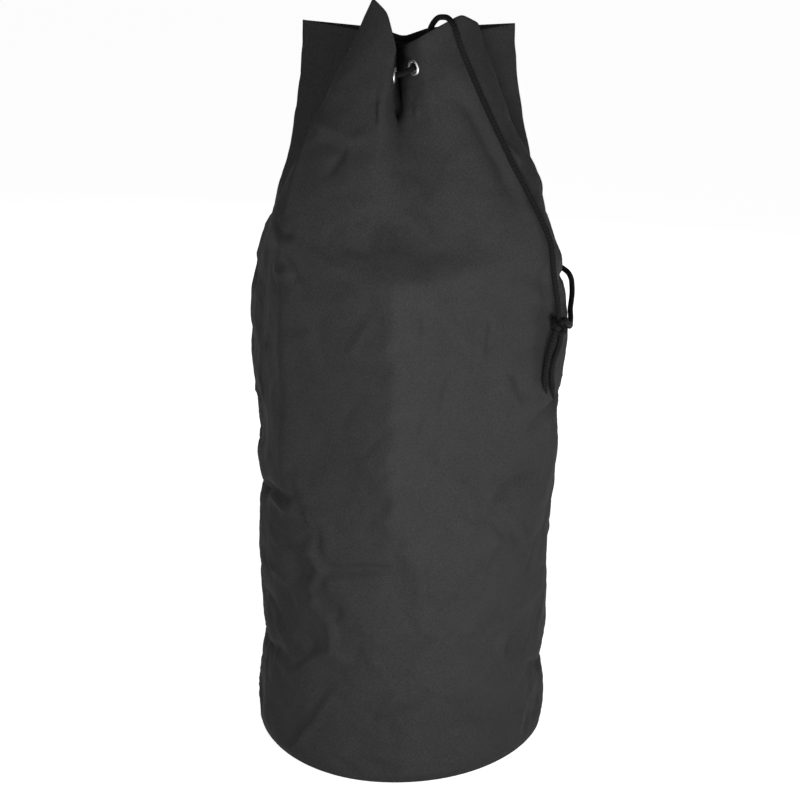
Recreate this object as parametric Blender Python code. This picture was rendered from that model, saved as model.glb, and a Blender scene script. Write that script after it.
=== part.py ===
"""Drawstring duffel bag standing on its round base, the mouth gathered by a cord through eyelets.

Metres, +Z up, the front faces -Y. The cloth wall is a tube: a body that follows what is packed in
it, and a collar that draws in from the packed shoulder to a rim folded into four pleats.
"""
import math

import bmesh
import bpy
import numpy as np
from mathutils import Matrix, Vector

FINE = 1200

# Filled body
BASE_RADIUS = 0.170
BASE_TURN = 0.012
SHOULDER_FRONT = 0.617
SHOULDER_SIDE = 0.555
SHOULDER_CORNERS = ((-60.0, 0.034, 28.0), (58.0, 0.016, 14.0))
SHOULDER_CREASE = 0.03
SHOULDER_ROUNDING = 0.14
PACKED_FROM = 0.24
PACKED_FULL = 0.40
PACKED_ROUNDING = 0.020
LEAN = 0.009

# Corners of the boxy contents inside the upper body, as the cloth would meet them sharp
PACKED = (
    (-0.016, -0.184),
    (0.171, -0.072),
    (0.186, 0.060),
    (0.020, 0.184),
    (-0.188, 0.050),
    (-0.145, -0.103),
)

# Cloth and its layers
CLOTH = 0.0009
GAP = 0.0003
HEM_DEPTH = 0.052
BASE_THICKNESS = 0.0014
BINDING_HEIGHT = 0.0105
BINDING_THICKNESS = 0.0020
SEAM_AZIMUTH = 128.0
SEAM_WIDTH = 0.016

# Collar over the packed corners, and the gathered rim
COLLAR_FRONT = 0.158
COLLAR_SIDE = 0.015
COLLAR_SLACK = 0.24
RIM_HEIGHT = 0.850
FOLD_ROUNDING = 0.0055
COLLAR_LENGTH = 0.27

# Eyelets
EYELET_DROP = 0.030
BORE_RADIUS = 0.0054
BARREL_WALL = 0.0006
FLANGE_RADIUS = 0.0093
FLANGE_HEIGHT = 0.0019
WASHER_RADIUS = 0.0083
WASHER_THICKNESS = 0.0007
ROLL_RADIUS = 0.0074
ROLL_HEIGHT = 0.0010

# Drawcord
CORD_DIAMETER = 0.0064
KNOT_RADIUS = 0.0064
SPLICE_GAP = 0.0006
CORD_REACH = 0.0150
CORD_STAND = 0.0130
BRIDGE_STAND = 0.0046

# Rim folds in order round the mouth: azimuth of the fold on the body in degrees, its x and y, its
# rise over RIM_HEIGHT, how fast its cloth draws in above the shoulder, and the share of the collar
# at which a pleat starts. A row with pleat 1 is the bottom of an inward pleat.
RIM = (
    # azimuth, x, y, rise, draw, start, pleat
    (0.0, -0.016, -0.034, -0.002, 1.5, 0.52, 1),
    (14.0, -0.006, -0.066, 0.009, 1.5, 0.50, 0),
    (27.0, 0.012, -0.090, 0.026, 1.5, 0.50, 0),
    (52.0, 0.057, -0.078, 0.048, 1.2, 0.40, 0),
    (78.0, 0.078, -0.052, 0.030, 1.0, 0.20, 0),
    (93.0, 0.035, -0.004, 0.000, 1.3, 0.20, 1),
    (108.0, 0.1235, 0.040, 0.004, 1.7, 0.20, 0),
    (150.0, 0.023, 0.060, -0.007, 1.5, 0.45, 0),
    (180.0, -0.006, 0.018, -0.005, 1.5, 0.45, 1),
    (210.0, -0.035, 0.060, -0.007, 1.5, 0.45, 0),
    (252.0, -0.1235, 0.040, 0.008, 1.7, 0.20, 0),
    (267.0, -0.020, 0.000, 0.000, 1.3, 0.20, 1),
    (282.0, -0.042, -0.058, 0.062, 1.0, 0.20, 0),
    (306.0, -0.0245, -0.078, 0.050, 1.0, 0.35, 0),
    (338.0, -0.0135, -0.092, 0.012, 0.88, 0.50, 0),
)

# Eyelets in order round the mouth: the rim fold before each one, and how far on to the next fold
EYELETS = (
    (1, 0.50),
    (4, 0.52),
    (5, 0.42),
    (7, 0.42),
    (8, 0.58),
    (10, 0.66),
    (11, 0.48),
    (14, 0.34),
)

# Free ends of the drawcord: azimuth on the body in degrees, level (1 is the shoulder, 2 the rim),
# and how far the cord's middle stands off the outer face
FRONT_STRAND = (
    (33.0, 1.935, -0.0200),
    (35.6, 1.994, -0.0175),
    (38.6, 2.026, -0.0115),
    (41.6, 2.033, -0.0010),
    (44.3, 2.010, 0.0095),
    (46.0, 1.964, 0.0135),
    (47.4, 1.900, 0.0110),
    (49.2, 1.815, 0.0060),
    (53.0, 1.640, 0.0037),
    (55.5, 1.500, 0.0037),
    (57.5, 1.360, 0.0037),
    (59.5, 1.230, 0.0040),
    (61.0, 1.110, 0.0046),
    (62.0, 1.020, 0.0058),
)
SIDE_STRAND = (
    (87.2, 1.930, -0.0200),
    (88.0, 1.992, -0.0175),
    (88.7, 2.023, -0.0115),
    (89.3, 2.028, 0.0000),
    (89.8, 2.004, 0.0105),
    (90.2, 1.962, 0.0140),
    (90.6, 1.890, 0.0115),
    (91.0, 1.800, 0.0080),
    (93.0, 1.640, 0.0060),
    (99.0, 1.500, 0.0050),
    (107.0, 1.360, 0.0046),
    (113.0, 1.230, 0.0046),
    (116.0, 1.120, 0.0050),
    (116.0, 1.040, 0.0058),
)
# Hanging end of the drawcord in the same terms, from where the strands leave the shoulder to the
# knot, and from the knot to the tips of the tails
FRONT_DROP = ((62.9, 0.955, 0.0090), (63.8, 0.902, 0.0115))
SIDE_DROP = (
    (115.0, 1.000, 0.0066),
    (109.0, 0.982, 0.0068),
    (100.0, 0.970, 0.0068),
    (90.0, 0.945, 0.0068),
    (81.0, 0.905, 0.0074),
    (73.0, 0.880, 0.0098),
)
KNOT = (64.4, 0.860, 0.0125)
# Where those drops and tails end, in knot radii from the middle of the knot
DROP_ENDS = (1.46, 1.36)
TAIL_ENDS = (1.46, 1.70)
TAIL_SPREAD = 0.0034
TAILS = (
    ((64.8, 0.824, 0.0105), (63.6, 0.784, 0.0078), (63.2, 0.752, 0.0074), (64.0, 0.725, 0.0090)),
    ((62.4, 0.824, 0.0112), (61.0, 0.784, 0.0086), (60.6, 0.754, 0.0082), (61.4, 0.733, 0.0095)),
)


def clear_scene():
    for item in list(bpy.data.objects):
        bpy.data.objects.remove(item, do_unlink=True)


def eased(value):
    value = np.clip(value, 0.0, 1.0)
    return value * value * (3.0 - 2.0 * value)


def softened(columns, step, rounding):
    """Round every corner of a closed row of samples."""
    reach = int(4 * rounding / step)
    offsets = np.arange(-reach, reach + 1)
    weights = np.exp(-0.5 * (offsets * step / rounding) ** 2)
    weights = weights / weights.sum()
    return sum(w * np.roll(columns, -o, axis=0) for w, o in zip(weights, offsets))


def packed_outline():
    """Azimuth and radius of the packed part of the body, all the way round."""
    corners = np.array(PACKED + PACKED[:1])
    along = np.concatenate(((0.0,), np.cumsum(np.linalg.norm(np.diff(corners, axis=0), axis=1))))
    places = np.arange(FINE) * along[-1] / FINE
    points = np.column_stack([np.interp(places, along, axis) for axis in corners.T])
    points = softened(points, along[-1] / FINE, PACKED_ROUNDING)
    azimuth = np.degrees(np.arctan2(points[:, 0], -points[:, 1])) % 360.0
    order = np.argsort(azimuth)
    return azimuth[order], np.linalg.norm(points, axis=1)[order]


PACKED_AZIMUTH, PACKED_RADIUS = packed_outline()


def shoulder(azimuth):
    """Height of the packed shoulder: level in front, pulled up at two corners, low at the back."""
    front = eased(np.cos(np.radians(azimuth)) / 0.5)
    height = SHOULDER_SIDE + (SHOULDER_FRONT - SHOULDER_SIDE) * front
    for corner, rise, reach in SHOULDER_CORNERS:
        away = (azimuth - corner + 180.0) % 360.0 - 180.0
        height = height + rise * np.exp(-((away / reach) ** 2))
    return height


def body_points(azimuth, height, slack=0.0):
    """Outer face of the filled body: round at the base, boxy where it is packed and not slack."""
    turn = np.radians(azimuth)
    boxy = np.interp(azimuth % 360.0, PACKED_AZIMUTH, PACKED_RADIUS, period=360.0)
    boxy = boxy - slack * np.maximum(boxy - COLLAR_FRONT - COLLAR_SIDE * np.sin(turn) ** 2, 0.0)
    share = eased((height - PACKED_FROM) / (PACKED_FULL - PACKED_FROM))
    radius = BASE_RADIUS + share * (boxy - BASE_RADIUS)
    under = np.clip(BASE_TURN - height, 0.0, BASE_TURN)
    radius = radius - BASE_TURN + np.sqrt(BASE_TURN ** 2 - under ** 2)
    lean = LEAN * (eased(height / SHOULDER_SIDE) - 1.0)
    return np.column_stack((lean + radius * np.sin(turn), -radius * np.cos(turn), height))


class Rim:
    """The rim laid out along its length, with the same rim unpleated beside it."""

    def __init__(self):
        rows = np.array(RIM)
        rows[:, 3] += RIM_HEIGHT
        open_rim = rows[:, 1:4].copy()
        for index in np.flatnonzero(rows[:, 6]):
            after = (index + 1) % len(rows)
            open_rim[index] = 0.5 * (rows[index - 1, 1:4] + rows[after, 1:4])
        table = np.column_stack((rows[:, :6], open_rim))
        table = np.vstack((table, table[:1]))
        table[-1, 0] += 360.0
        steps = np.linalg.norm(np.diff(table[:, 1:4], axis=0), axis=1)
        self.folds = np.concatenate(((0.0,), np.cumsum(steps)))
        self.length = self.folds[-1]
        self.along = np.arange(FINE) * self.length / FINE
        columns = np.column_stack([np.interp(self.along, self.folds, c) for c in table.T])
        turned = columns[:, 0] - 360.0 * self.along / self.length
        columns = softened(np.column_stack((turned, columns[:, 1:])), self.length / FINE, FOLD_ROUNDING)
        self.azimuth = columns[:, 0] + 360.0 * self.along / self.length
        self.pleated = columns[:, 1:4]
        self.draw = columns[:, 4]
        self.start = columns[:, 5]
        self.plain = columns[:, 6:9]
        self.turns = table[:, 0]

    def stations(self):
        """Where the rings of the wall get their points: at the folds, beside them and between."""
        places = []
        for first, last, turn_a, turn_b in zip(
            self.folds[:-1], self.folds[1:], self.turns[:-1], self.turns[1:]
        ):
            beside = min(0.007, 0.25 * (last - first))
            places.append(first)
            count = max(2, math.ceil((last - first) / 0.017), math.ceil((turn_b - turn_a) / 7.0))
            places.extend(np.linspace(first + beside, last - beside, count))
        places = np.array(places)
        return np.round(places / self.length * FINE).astype(int) % FINE

    def at(self, azimuth):
        return int(np.argmin(np.abs(self.azimuth - azimuth)))


RIM_LINE = Rim()


def ring(level):
    """Outer face of the wall at one level: 0 at the floor, 1 at the shoulder, 2 at the rim."""
    azimuth = RIM_LINE.azimuth
    top = shoulder(azimuth)
    if level <= 1.0:
        height = level * SHOULDER_SIDE + (top - SHOULDER_SIDE) * eased((level - 0.3) / 0.7)
        return body_points(azimuth, height)
    share = level - 1.0
    body = body_points(azimuth, top, eased(share / COLLAR_SLACK))
    ease = SHOULDER_CREASE + SHOULDER_ROUNDING * np.sin(np.radians(azimuth)) ** 2
    soft = min(share, 1.0) ** 2 * (1.0 + ease) / (min(share, 1.0) + ease)
    drawn = (1.0 - (1.0 - soft) ** RIM_LINE.draw)[:, None]
    folded = eased((share - RIM_LINE.start) / (1.0 - RIM_LINE.start))[:, None]
    points = body + drawn * (RIM_LINE.plain - body)
    points[:, 2] = body[:, 2] + share * (RIM_LINE.plain[:, 2] - body[:, 2])
    return points + folded * (RIM_LINE.pleated - RIM_LINE.plain)


def facing(level):
    """Outward directions of the wall at one level, and over the rim those of the rim."""
    level = min(level, 2.0)
    low = ring(max(level - 0.01, 0.0005))
    high = ring(min(level + 0.01, 2.0))
    middle = ring(level)
    round_it = np.roll(middle, -2, axis=0) - np.roll(middle, 2, axis=0)
    out = np.cross(round_it, high - low)
    return out / np.linalg.norm(out, axis=1)[:, None]


def on_wall(azimuth, level, lift):
    """A point that stands off the wall's outer face, or over the rim where the level passes 2."""
    index = RIM_LINE.at(azimuth)
    return Vector(ring(level)[index] + lift * facing(level)[index])


def finish(item, colour, metallic, roughness):
    paint = bpy.data.materials.new(item.name + "_finish")
    paint.use_nodes = True
    shader = paint.node_tree.nodes["Principled BSDF"]
    shader.inputs["Base Color"].default_value = (*colour, 1.0)
    shader.inputs["Metallic"].default_value = metallic
    shader.inputs["Roughness"].default_value = roughness
    item.data.materials.clear()
    item.data.materials.append(paint)
    return item


def cloth_finish(item):
    return finish(item, (0.036, 0.036, 0.037), 0.0, 0.55)


def metal_finish(item):
    return finish(item, (0.72, 0.72, 0.73), 1.0, 0.18)


def cord_finish(item):
    return finish(item, (0.016, 0.016, 0.017), 0.0, 0.7)


def from_bmesh(name, shape):
    bmesh.ops.recalc_face_normals(shape, faces=shape.faces)
    mesh = bpy.data.meshes.new(name)
    shape.to_mesh(mesh)
    shape.free()
    item = bpy.data.objects.new(name, mesh)
    bpy.context.collection.objects.link(item)
    return item


def add_loop(shape, points, closed=True):
    """One row of vertices joined by edges, ready to be bridged to the next row."""
    verts = [shape.verts.new(point) for point in points]
    pairs = zip(verts, verts[1:] + verts[:1]) if closed else zip(verts, verts[1:])
    return [shape.edges.new(pair) for pair in pairs]


def lofted(rows, closed=True):
    """A skin of triangles through rows of points, bridged one row to the next."""
    shape = bmesh.new()
    loops = [add_loop(shape, row, closed) for row in rows]
    for below, above in zip(loops, loops[1:]):
        bmesh.ops.bridge_loops(shape, edges=below + above)
    bmesh.ops.triangulate(shape, faces=shape.faces[:], quad_method="SHORT_EDGE")
    return shape


def thicken(item, thickness):
    layer = item.modifiers.new("cloth", "SOLIDIFY")
    layer.thickness = thickness
    layer.offset = -1.0
    layer.use_rim = True
    return layer


def cut_with(item, cutter):
    hole = item.modifiers.new("holes", "BOOLEAN")
    hole.operation = "DIFFERENCE"
    hole.object = cutter


def wall_rows(levels, stations, inset):
    return [(ring(v) - inset * facing(v))[stations] for v in levels]


def layer(levels, stations, inset):
    """A layer of cloth, its outer face set in from the wall's and split into the same triangles."""
    shape = lofted(wall_rows(levels, stations, 0.0))
    outer = shape.verts[:]
    copied = bmesh.ops.duplicate(shape, geom=shape.faces[:])
    inner = [copied["vert_map"][vert] for vert in outer]
    for verts, depth in ((outer, inset), (inner, inset + CLOTH)):
        for vert, point in zip(verts, np.vstack(wall_rows(levels, stations, depth))):
            vert.co = point
    rims = [edge for edge in shape.edges if edge.is_boundary]
    for row in (0, len(levels) - 1):
        first = row * len(stations)
        ends = set(outer[first : first + len(stations)] + inner[first : first + len(stations)])
        bmesh.ops.bridge_loops(shape, edges=[e for e in rims if set(e.verts) <= ends])
    return shape


def hem_levels():
    """Levels of the hem: its stitched edge, the row of eyelets and the rim."""
    return [2.0 - HEM_DEPTH / COLLAR_LENGTH, 2.0 - EYELET_DROP / COLLAR_LENGTH, 2.0]


def bag_wall(stations):
    """Cloth tube from the base seam to the rim."""
    heights = (0.0008, 0.0040, BASE_TURN, 0.095, 0.190, 0.285, 0.370, 0.455)
    body = [height / SHOULDER_SIDE for height in heights]
    collar = [1.0, 1.10, 1.24, 1.40, 1.55, 1.68]
    return cloth_finish(from_bmesh("bag_wall", layer(body + collar + hem_levels(), stations, 0.0)))


def mouth_hem(stations):
    """Turned-in second layer of cloth that the eyelets clamp."""
    return cloth_finish(from_bmesh("mouth_hem", layer(hem_levels(), stations, CLOTH + GAP)))


def seam_binding():
    """Tape over the wall's seam allowance, inside, from the base to the hem."""
    middle = RIM_LINE.at(SEAM_AZIMUTH)
    half = 0.5 * SEAM_WIDTH
    top = 2.0 - (HEM_DEPTH + 0.012) / COLLAR_LENGTH
    heights = (0.030, 0.095, 0.190, 0.285, 0.370, 0.455)
    levels = [height / SHOULDER_SIDE for height in heights] + [1.0, 1.10, 1.24, 1.40, 1.55, top]
    rows = []
    for level in levels:
        points = ring(level) - (CLOTH + 2.0 * GAP + 0.0012) * facing(level)
        across = points[(middle + 4) % FINE] - points[middle - 4]
        across = across / np.linalg.norm(across)
        rows.append([points[middle] - half * across, points[middle] + half * across])
    item = from_bmesh("seam_binding", lofted(rows, closed=False))
    thicken(item, CLOTH)
    return cloth_finish(item)


def inset_ring(level, stations, inset, height):
    """A level of the wall drawn in towards the bag's axis and set at a height."""
    points = ring(level)[stations]
    middle = 0.5 * (points.min(axis=0) + points.max(axis=0))
    flat = points[:, :2] - middle[:2]
    flat = flat * (1.0 - inset / np.linalg.norm(flat, axis=1))[:, None] + middle[:2]
    return np.column_stack((flat, np.full(len(flat), height)))


def base_panel(stations):
    """Round base, its underside the face the bag stands on."""
    outline = inset_ring(0.0008 / SHOULDER_SIDE, stations, 0.0012, 0.0)
    shape = bmesh.new()
    add_loop(shape, outline)
    base = bmesh.ops.contextual_create(shape, geom=shape.edges[:])["faces"]
    top = bmesh.ops.extrude_face_region(shape, geom=base)["geom"]
    rise = [part for part in top if isinstance(part, bmesh.types.BMVert)]
    bmesh.ops.translate(shape, verts=rise, vec=(0.0, 0.0, BASE_THICKNESS))
    return cloth_finish(from_bmesh("base_panel", shape))


def base_binding(stations):
    """Tape bound round the base seam, standing on the base inside the wall."""
    level = 0.0008 / SHOULDER_SIDE
    foot = BASE_THICKNESS + GAP
    few = stations[::2]
    outer = inset_ring(level, few, 0.0022, foot)
    rows = [outer, outer + np.array((0.0, 0.0, BINDING_HEIGHT))]
    item = from_bmesh("base_binding", lofted(rows))
    thicken(item, BINDING_THICKNESS)
    return cloth_finish(item)


def facet_samples(levels, stations, inset):
    """Points spread over the facets of one face of the cloth near the rim, split either way."""
    rows = np.array(wall_rows(levels, stations, inset))
    rows = np.concatenate((rows, rows[:, :1]), axis=1)
    a = rows[:-1, :-1].reshape(-1, 3)
    b = rows[:-1, 1:].reshape(-1, 3)
    c = rows[1:, 1:].reshape(-1, 3)
    d = rows[1:, :-1].reshape(-1, 3)
    samples = []
    for corner, left, right in ((b, a, c), (d, a, c), (a, b, d), (c, b, d)):
        for step in np.linspace(0.0, 1.0, 9):
            for part in np.linspace(0.0, 1.0, 9):
                far = (1.0 - part) * left + part * right
                samples.append((1.0 - step) * corner + step * far)
    return np.vstack(samples)


class Seat:
    """Where one eyelet sits: its middle on the wall, its outward direction and the cloth it clamps."""

    def __init__(self, fold, share, outside, inside):
        place = RIM_LINE.folds[fold]
        place += share * (RIM_LINE.folds[fold + 1] - RIM_LINE.folds[fold])
        index = int(round(place / RIM_LINE.length * FINE)) % FINE
        level = 2.0 - EYELET_DROP / COLLAR_LENGTH
        self.middle = Vector(ring(level)[index])
        self.out = Vector(facing(level)[index])
        self.outer = max(self.heights(outside, FLANGE_RADIUS)) + GAP
        self.inner = min(self.heights(inside, WASHER_RADIUS)) - GAP

    def heights(self, samples, radius):
        """How far one face of the cloth stands from the middle, within a radius."""
        away = samples - np.array(self.middle)
        height = away @ np.array(self.out)
        side = np.linalg.norm(away - height[:, None] * np.array(self.out), axis=1)
        return height[(side < 1.08 * radius) & (np.abs(height) < 0.8 * radius)]

    def frame(self):
        side = Vector((0.0, 0.0, 1.0)).cross(self.out).normalized()
        up = self.out.cross(side)
        turn = Matrix((side, up, self.out)).transposed().to_4x4()
        return Matrix.Translation(self.middle) @ turn


def spun(name, profile, seat, steps=12):
    """A closed profile of (radius, height) spun round the eyelet's own axis."""
    shape = bmesh.new()
    edges = add_loop(shape, [(radius, 0.0, height) for radius, height in profile])
    bmesh.ops.spin(
        shape, geom=shape.verts[:] + edges, cent=(0.0, 0.0, 0.0), axis=(0.0, 0.0, 1.0),
        angle=2.0 * math.pi, steps=steps, use_merge=True,
    )
    bmesh.ops.transform(shape, matrix=seat.frame(), verts=shape.verts[:])
    return metal_finish(from_bmesh(name, shape))


def eyelet(name, seat):
    """Domed flange outside, barrel through both layers, end rolled over the washer."""
    barrel = BORE_RADIUS + BARREL_WALL
    washer = seat.inner - WASHER_THICKNESS
    rolled = washer - 0.0002
    profile = (
        (BORE_RADIUS, seat.outer + 0.6 * FLANGE_HEIGHT),
        (0.5 * (BORE_RADIUS + FLANGE_RADIUS), seat.outer + FLANGE_HEIGHT),
        (FLANGE_RADIUS, seat.outer + 0.45 * FLANGE_HEIGHT),
        (FLANGE_RADIUS, seat.outer),
        (barrel, seat.outer),
        (barrel, rolled),
        (ROLL_RADIUS, rolled),
        (ROLL_RADIUS - 0.0004, rolled - ROLL_HEIGHT),
        (BORE_RADIUS, rolled - ROLL_HEIGHT),
    )
    return spun(name, profile, seat)


def eyelet_washer(name, seat):
    """Flat ring inside the hem, under the rolled end of the barrel."""
    bore = BORE_RADIUS + BARREL_WALL + 0.0003
    low = seat.inner - WASHER_THICKNESS
    profile = ((bore, seat.inner), (WASHER_RADIUS, seat.inner), (WASHER_RADIUS, low), (bore, low))
    return spun(name, profile, seat)


def eyelet_cutter(seats):
    """Holes through wall and hem, a little wider than the barrels."""
    shape = bmesh.new()
    for seat in seats:
        bmesh.ops.create_cone(
            shape, cap_ends=True, segments=12, radius1=BORE_RADIUS + BARREL_WALL + GAP,
            radius2=BORE_RADIUS + BARREL_WALL + GAP, depth=0.012, matrix=seat.frame(),
        )
    cutter = from_bmesh("eyelet_holes", shape)
    cutter.hide_render = True
    cutter.display_type = "WIRE"
    return cutter


def smooth_route(points, spacing):
    """Points at an even spacing along a smooth curve through a route."""
    route = np.array([tuple(point) for point in points])
    ends = np.vstack((2.0 * route[0] - route[1], route, 2.0 * route[-1] - route[-2]))
    pieces = []
    for a, b, c, d in zip(ends[:-3], ends[1:-2], ends[2:-1], ends[3:]):
        knots = np.cumsum([0.0] + [np.linalg.norm(q - p) ** 0.5 for p, q in ((a, b), (b, c), (c, d))])
        t = np.linspace(knots[1], knots[2], 24, endpoint=False)[:, None]
        ab = ((knots[1] - t) * a + (t - knots[0]) * b) / (knots[1] - knots[0])
        bc = ((knots[2] - t) * b + (t - knots[1]) * c) / (knots[2] - knots[1])
        cd = ((knots[3] - t) * c + (t - knots[2]) * d) / (knots[3] - knots[2])
        abc = ((knots[2] - t) * ab + (t - knots[0]) * bc) / (knots[2] - knots[0])
        bcd = ((knots[3] - t) * bc + (t - knots[1]) * cd) / (knots[3] - knots[1])
        pieces.append(((knots[2] - t) * abc + (t - knots[1]) * bcd) / (knots[2] - knots[1]))
    line = np.vstack(pieces + [route[-1:]])
    along = np.concatenate(((0.0,), np.cumsum(np.linalg.norm(np.diff(line, axis=0), axis=1))))
    count = max(2, int(round(along[-1] / spacing)))
    even = np.linspace(0.0, along[-1], count + 1)
    return [Vector(p) for p in np.column_stack([np.interp(even, along, axis) for axis in line.T])]


def tube(name, points, radii=None):
    """A cord along a row of points, with filled ends."""
    curve = bpy.data.curves.new(name, "CURVE")
    curve.dimensions = "3D"
    curve.bevel_depth = 0.5 * CORD_DIAMETER
    curve.bevel_resolution = 2
    curve.use_fill_caps = True
    spline = curve.splines.new("POLY")
    spline.points.add(len(points) - 1)
    for index, point in enumerate(points):
        spline.points[index].co = (*point, 1.0)
        spline.points[index].radius = radii[index] if radii else 1.0
    item = bpy.data.objects.new(name, curve)
    bpy.context.collection.objects.link(item)
    return cord_finish(item)


def cut_back(points, start, end):
    """The same row without its first and last stretch."""
    points = [Vector(point) for point in points]
    points[0] = points[0] + (points[1] - points[0]).normalized() * start
    points[-1] = points[-1] + (points[-2] - points[-1]).normalized() * end
    return points


def ball_ended(points):
    """Start a row with a half ball, which turns in place on the hinge line."""
    radius = 0.5 * CORD_DIAMETER
    ahead = (points[1] - points[0]).normalized()
    shares = (0.25, 0.62, 0.9)
    lead = [points[0] - ahead * radius * math.sqrt(1.0 - share * share) for share in shares]
    return lead + points, list(shares) + [1.0] * len(points)


def threaded_route(seats):
    """The cord from inside the right lobe, out and in through all eight eyelets and back to it."""
    order = [0, 7, 6, 5, 4, 3, 2, 1]
    route = []
    for place, number in enumerate(order):
        seat = seats[number]
        outward = place % 2 == 0
        inside = seat.middle - seat.out * CORD_REACH
        outside = seat.middle + seat.out * CORD_STAND
        route.extend((inside, seat.middle, outside) if outward else (outside, seat.middle, inside))
    first, last = seats[0], seats[7]
    bridge = 0.5 * (first.middle + last.middle) + BRIDGE_STAND * (first.out + last.out).normalized()
    return route[:2] + [bridge] + route[4:]


def drawcord(seats):
    """The threaded run, the two strands on the collar, and the hanging end."""
    spacing = 2.4 * CORD_DIAMETER
    route = threaded_route(seats)
    items = [tube("drawcord_run", smooth_route(route, spacing))]
    front_leave = on_wall(*FRONT_STRAND[-1])
    side_leave = on_wall(*SIDE_STRAND[-1])
    clear = 0.5 * CORD_DIAMETER + SPLICE_GAP
    starts = (route[0], route[-1])
    for name, strand, start in zip(
        ("drawcord_front_strand", "drawcord_side_strand"), (FRONT_STRAND, SIDE_STRAND), starts
    ):
        on_bag = [start] + [on_wall(*row) for row in strand]
        line = smooth_route(on_bag, spacing)
        items.append(tube(name, cut_back(line, clear, clear)))
    knot = on_wall(*KNOT)
    names = ("drawcord_front_drop", "drawcord_side_drop")
    leaves = (front_leave, side_leave)
    for name, leave, drop, end in zip(names, leaves, (FRONT_DROP, SIDE_DROP), DROP_ENDS):
        line = smooth_route([leave] + [on_wall(*row) for row in drop] + [knot], 0.5 * spacing)
        while (line[-1] - knot).length < 1.7 * KNOT_RADIUS:
            line.pop()
        line.append(knot + (line[-1] - knot).normalized() * end * KNOT_RADIUS)
        points, radii = ball_ended(line)
        items.append(tube(name, points, radii))
    items.append(knot_solid(knot))
    across = Vector((0.0, 0.0, 1.0)).cross(knot).normalized()
    for number, (tail, side, end) in enumerate(zip(TAILS, (1.0, -1.0), TAIL_ENDS), start=1):
        start = knot + side * TAIL_SPREAD * across - Vector((0.0, 0.0, end * KNOT_RADIUS))
        line = smooth_route([start] + [on_wall(*row) for row in tail], spacing)
        items.append(tube(f"drawcord_tail_{number}", line, [1.0] * (len(line) - 1) + [0.55]))
    return items


def knot_solid(middle):
    """Overhand knot in both strands: two crossed turns of cord fused round a core."""
    shape = bmesh.new()
    core = Matrix.Translation(middle) @ Matrix.Diagonal((1.12, 1.12, 1.36, 1.0))
    bmesh.ops.create_uvsphere(shape, u_segments=12, v_segments=8, radius=KNOT_RADIUS, matrix=core)
    item = cord_finish(from_bmesh("drawcord_knot", shape))
    for number, (tilt, lift) in enumerate(((34.0, 0.0022), (-38.0, -0.0024))):
        turn = Matrix.Rotation(math.radians(tilt), 4, "Y") @ Matrix.Rotation(math.radians(14.0), 4, "X")
        coil = bmesh.new()
        bmesh.ops.create_circle(coil, segments=8, radius=0.5 * CORD_DIAMETER)
        upright = Matrix.Translation((0.95 * KNOT_RADIUS, 0.0, 0.0)) @ Matrix.Rotation(0.5 * math.pi, 4, "X")
        bmesh.ops.transform(coil, matrix=upright, verts=coil.verts[:])
        bmesh.ops.spin(
            coil, geom=coil.verts[:] + coil.edges[:], cent=(0.0, 0.0, 0.0), axis=(0.0, 0.0, 1.0),
            angle=2.0 * math.pi, steps=14, use_merge=True,
        )
        place = Matrix.Translation(middle + Vector((0.0, 0.0, lift))) @ turn
        bmesh.ops.transform(coil, matrix=place, verts=coil.verts[:])
        cutter = from_bmesh(f"knot_turn_{number}", coil)
        cutter.hide_render = True
        cutter.display_type = "WIRE"
        joined = item.modifiers.new("turn", "BOOLEAN")
        joined.operation = "UNION"
        joined.object = cutter
    return item


def build():
    clear_scene()
    stations = RIM_LINE.stations()
    outside = facet_samples(hem_levels(), stations, 0.0)
    inside = facet_samples(hem_levels(), stations, 2.0 * CLOTH + GAP)
    seats = [Seat(fold, share, outside, inside) for fold, share in EYELETS]
    holes = eyelet_cutter(seats)
    for cloth in (bag_wall(stations), mouth_hem(stations)):
        cut_with(cloth, holes)
    base_panel(stations)
    base_binding(stations)
    seam_binding()
    for number, seat in enumerate(seats, start=1):
        eyelet(f"eyelet_{number}", seat)
        eyelet_washer(f"eyelet_washer_{number}", seat)
    drawcord(seats)


build()
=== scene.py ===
import math

import bmesh
import bpy
import numpy as np
from mathutils import Matrix, Vector, kdtree, noise


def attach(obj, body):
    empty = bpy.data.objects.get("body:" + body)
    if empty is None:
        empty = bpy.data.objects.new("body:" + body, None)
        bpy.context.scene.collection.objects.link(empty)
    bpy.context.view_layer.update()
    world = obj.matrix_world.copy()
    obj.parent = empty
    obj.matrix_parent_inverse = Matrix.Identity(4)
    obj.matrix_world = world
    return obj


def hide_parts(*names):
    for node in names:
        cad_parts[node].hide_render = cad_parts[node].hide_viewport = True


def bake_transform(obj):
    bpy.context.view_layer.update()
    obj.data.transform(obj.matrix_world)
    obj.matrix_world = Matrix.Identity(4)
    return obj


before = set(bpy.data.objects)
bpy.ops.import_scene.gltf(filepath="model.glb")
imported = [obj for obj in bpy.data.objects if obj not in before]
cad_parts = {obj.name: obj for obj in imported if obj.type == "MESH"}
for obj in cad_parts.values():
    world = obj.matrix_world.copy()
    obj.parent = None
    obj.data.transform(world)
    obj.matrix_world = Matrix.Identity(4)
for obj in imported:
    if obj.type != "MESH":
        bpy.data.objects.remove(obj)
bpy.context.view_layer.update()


# Bag wall. One tube of black coated nylon, cut flat, sewn to the round base and closed by a seam at
# the back right. A carton inside pushes it out into flat faces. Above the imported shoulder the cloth
# is drawn in to a rim that folds into four pleats, and the rim is turned in over the hem.
LINE = 1200
BASE_RADIUS, BASE_TURN, LEAN = 0.170, 0.004, 0.009
SHOULDER_FRONT, SHOULDER_SIDE = 0.617, 0.555
SHOULDER_CORNERS = ((-60.0, 0.034, 28.0), (58.0, 0.016, 14.0))
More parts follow.
